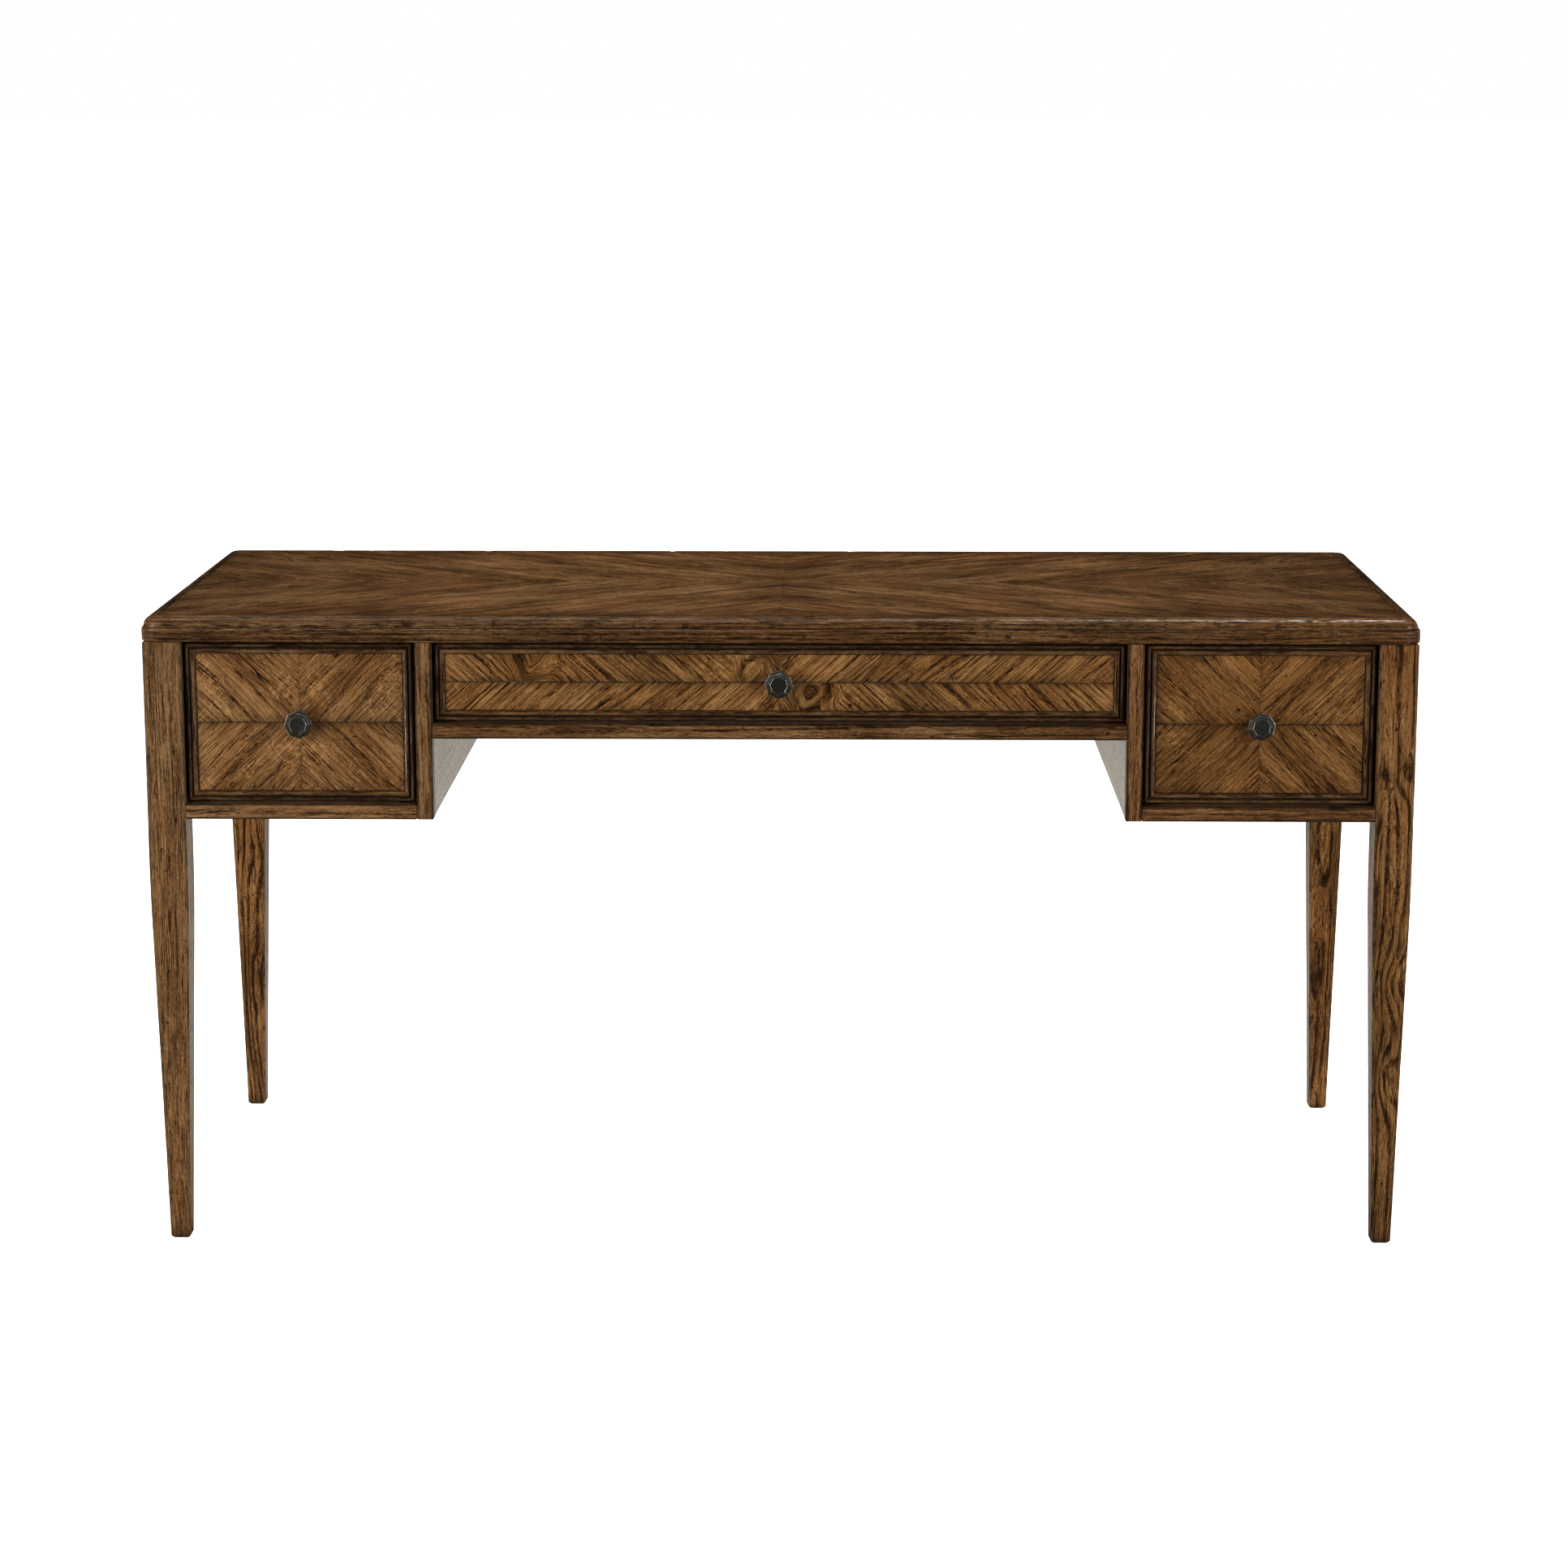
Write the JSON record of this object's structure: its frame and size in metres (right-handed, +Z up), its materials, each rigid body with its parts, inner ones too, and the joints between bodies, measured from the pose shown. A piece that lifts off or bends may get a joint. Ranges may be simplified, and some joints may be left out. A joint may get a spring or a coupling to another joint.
{
  "type": "writing desk with drawers",
  "caption": "Oak writing desk with a moulded top, tapered square legs, a shallow centre drawer over the kneehole and a deeper drawer on either side.",
  "frame": {"origin": "on the floor, under the middle of the desk's outer box, knobs included", "axes": "+X along the length to the right as seen from the front, +Y to the back, +Z up"},
  "size_m": [1.524, 0.644, 0.775],
  "materials": {
    "oak": "distressed brown oak, dark glaze in the pores, satin wax",
    "oak_veneer": "quarter-matched brown oak veneer, grain at a slant, satin wax",
    "drawer_wood": "plain pale secondary wood, lightly sealed",
    "knob_bronze": "dark aged bronze, worn bright on the ridges",
    "screw_steel": "plain zinc-plated steel"
  },
  "bodies": {
    "carcass": {"centre_back_panel": "oak", "centre_drawer_kicker": "drawer_wood", "centre_drawer_runner_left": "drawer_wood", "centre_drawer_runner_right": "drawer_wood", "centre_drawer_stop": "drawer_wood", "centre_front_rail": "oak", "front_top_rail": "drawer_wood", "left_back_panel": "oak", "left_drawer_kicker": "drawer_wood", "left_drawer_runner_left": "drawer_wood", "left_drawer_runner_right": "drawer_wood", "left_drawer_stop": "drawer_wood", "left_front_rail": "oak", "left_kneehole_panel": "oak", "left_side_panel": "oak", "left_stile": "oak", "leg_back_left": "oak", "leg_back_right": "oak", "leg_front_left": "oak", "leg_front_right": "oak", "right_back_panel": "oak", "right_drawer_kicker": "drawer_wood", "right_drawer_runner_left": "drawer_wood", "right_drawer_runner_right": "drawer_wood", "right_drawer_stop": "drawer_wood", "right_front_rail": "oak", "right_kneehole_panel": "oak", "right_side_panel": "oak", "right_stile": "oak", "top_edge_back": "oak", "top_edge_front": "oak", "top_edge_left": "oak", "top_edge_right": "oak", "top_panel": "oak_veneer"},
    "left_drawer": {"left_drawer_back": "drawer_wood", "left_drawer_bead": "oak", "left_drawer_bottom": "drawer_wood", "left_drawer_front": "oak_veneer", "left_drawer_knob": "knob_bronze", "left_drawer_knob_screw": "screw_steel", "left_drawer_left_side": "drawer_wood", "left_drawer_right_side": "drawer_wood"},
    "centre_drawer": {"centre_drawer_back": "drawer_wood", "centre_drawer_bead": "oak", "centre_drawer_bottom": "drawer_wood", "centre_drawer_front": "oak_veneer", "centre_drawer_knob": "knob_bronze", "centre_drawer_knob_screw": "screw_steel", "centre_drawer_left_side": "drawer_wood", "centre_drawer_right_side": "drawer_wood"},
    "right_drawer": {"right_drawer_back": "drawer_wood", "right_drawer_bead": "oak", "right_drawer_bottom": "drawer_wood", "right_drawer_front": "oak_veneer", "right_drawer_knob": "knob_bronze", "right_drawer_knob_screw": "screw_steel", "right_drawer_left_side": "drawer_wood", "right_drawer_right_side": "drawer_wood"}
  },
  "joints": [
    {"name": "left_drawer_slide", "type": "slide", "parent": "carcass", "child": "left_drawer", "axis": [0, -1, 0], "range_m": [0, 0.38]},
    {"name": "centre_drawer_slide", "type": "slide", "parent": "carcass", "child": "centre_drawer", "axis": [0, -1, 0], "range_m": [0, 0.38]},
    {"name": "right_drawer_slide", "type": "slide", "parent": "carcass", "child": "right_drawer", "axis": [0, -1, 0], "range_m": [0, 0.38]}
  ]
}
